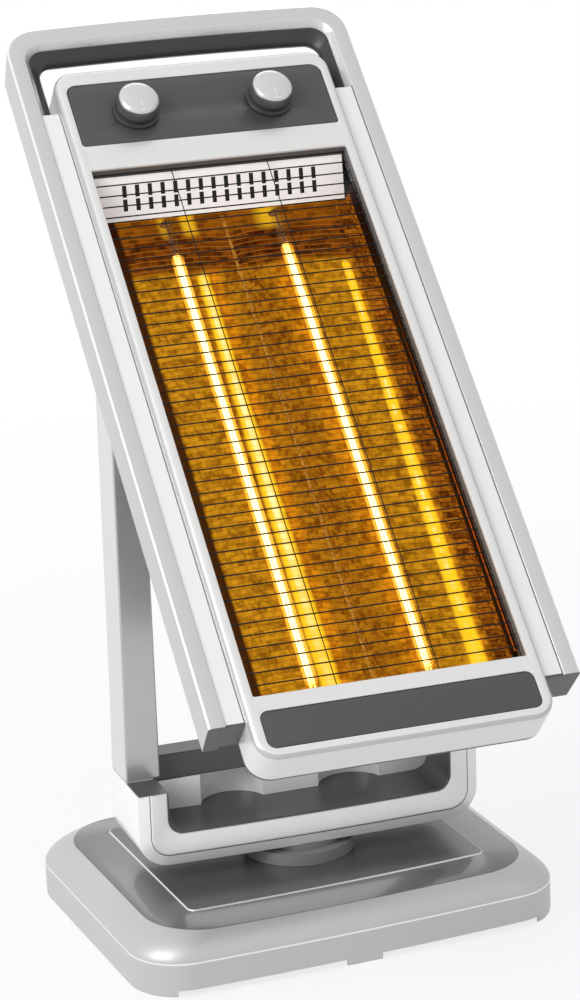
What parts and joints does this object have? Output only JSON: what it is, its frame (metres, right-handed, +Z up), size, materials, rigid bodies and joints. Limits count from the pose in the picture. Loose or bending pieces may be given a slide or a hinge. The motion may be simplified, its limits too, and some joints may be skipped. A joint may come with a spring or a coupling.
{
  "type": "halogen heater",
  "caption": "Free-standing electric halogen heater with a tilting lamp head in a handle frame, carried by two arms on a stand that swivels on a weighted base.",
  "frame": {"origin": "on the floor at the middle of the base, on the swivel axis, in the plane of the feet and of the base's lower rim", "axes": "+X to the heater's left as it faces the user (the picture's right), +Y to its back, +Z up; the lamps face -Y"},
  "size_m": [0.377, 0.5336, 0.7038],
  "materials": {
    "silver_plastic": "glossy silver paint",
    "silver_bar": "satin silver paint",
    "pale_silver": "pale silver paint",
    "dark_panel": "semi-gloss dark grey",
    "base_panel": "glossy grey",
    "dark_lining": "moulded dark grey",
    "rear_wall": "silver grey",
    "black_plastic": "moulded black",
    "bakelite": "moulded thermoset",
    "knob_grey": "satin grey",
    "knob_face": "satin pale silver",
    "rubber_foot": "moulded",
    "fibre_washer": "pressed fibre",
    "steel_plate": "zinc plated",
    "cast_weight": "as cast",
    "chrome_wire": "bright plated",
    "air_sheet": "bright sheet",
    "reflector_sheet": "bright sheet lit by the lamps",
    "heat_sheet": "mill finish",
    "quartz": "clear",
    "filament": "glowing",
    "white_ceramic": "unglazed",
    "cream_plastic": "moulded"
  },
  "bodies": {
    "base": {"base_shell": "silver_plastic", "base_top_panel": "base_panel", "base_bottom_plate": "black_plastic", "ballast_plate": "cast_weight", "base_feet": "rubber_foot", "base_screws": "steel_plate", "tip_over_switch": "black_plastic", "base_terminal_block": "cream_plastic", "cord_gland": "black_plastic", "swivel_collar": "black_plastic"},
    "stand": {"swivel_spindle": "steel_plate", "spindle_nut": "steel_plate", "stand_cover": "silver_bar", "stand_back_plate": "silver_bar", "stand_beam": "steel_plate", "stand_lining": "dark_lining", "stub_caps": "dark_lining", "stand_rear_wall": "rear_wall", "crossbar": "dark_lining", "left_arm_cover": "silver_plastic", "right_arm_cover": "silver_plastic", "left_arm_core": "steel_plate", "right_arm_core": "steel_plate", "pivot_bolts": "steel_plate", "friction_washers": "fibre_washer"},
    "head": {"outer_frame": "silver_bar", "frame_back": "silver_bar", "handle_lining": "dark_lining", "left_side_strip": "pale_silver", "right_side_strip": "pale_silver", "rail_end_caps": "dark_lining", "front_bezel": "pale_silver", "control_panel": "dark_panel", "lower_trim_panel": "dark_panel", "rear_housing": "dark_lining", "rear_grille": "black_plastic", "housing_screws": "steel_plate", "left_tilt_bracket": "steel_plate", "right_tilt_bracket": "steel_plate", "wire_guard": "chrome_wire", "air_plate": "air_sheet", "left_reflector": "reflector_sheet", "right_reflector": "reflector_sheet", "upper_end_plate": "reflector_sheet", "lower_end_plate": "reflector_sheet", "side_baffles": "heat_sheet", "quartz_tubes": "quartz", "lamp_filaments": "filament", "lamp_end_caps": "white_ceramic", "lamp_brackets": "steel_plate", "heat_shield": "heat_sheet", "power_switch": "bakelite", "timer_unit": "cream_plastic", "thermal_cutout": "bakelite"},
    "power_knob_body": {"power_shaft": "steel_plate", "power_knob": "knob_grey", "power_knob_cap": "knob_face"},
    "timer_knob_body": {"timer_shaft": "steel_plate", "timer_knob": "knob_grey", "timer_knob_cap": "knob_face"}
  },
  "joints": [
    {"name": "swivel", "type": "hinge", "parent": "base", "child": "stand", "pos_m": [0, 0, 0.06], "axis": [0, 0, 1], "range_deg": [-41.5, 48.5]},
    {"name": "head_tilt", "type": "hinge", "parent": "stand", "child": "head", "pos_m": [0, 0.0043, 0.4249], "axis": [-1, 0, 0], "range_deg": [-48, 7]},
    {"name": "power_knob_turn", "type": "hinge", "parent": "head", "child": "power_knob_body", "pos_m": [-0.0575, 0.17583, 0.64165], "axis": [0, 0.6691, -0.7431], "range_deg": [0, 180]},
    {"name": "timer_knob_turn", "type": "hinge", "parent": "head", "child": "timer_knob_body", "pos_m": [0.0575, 0.17583, 0.64165], "axis": [0, 0.6691, -0.7431], "range_deg": [0, 300]}
  ]
}
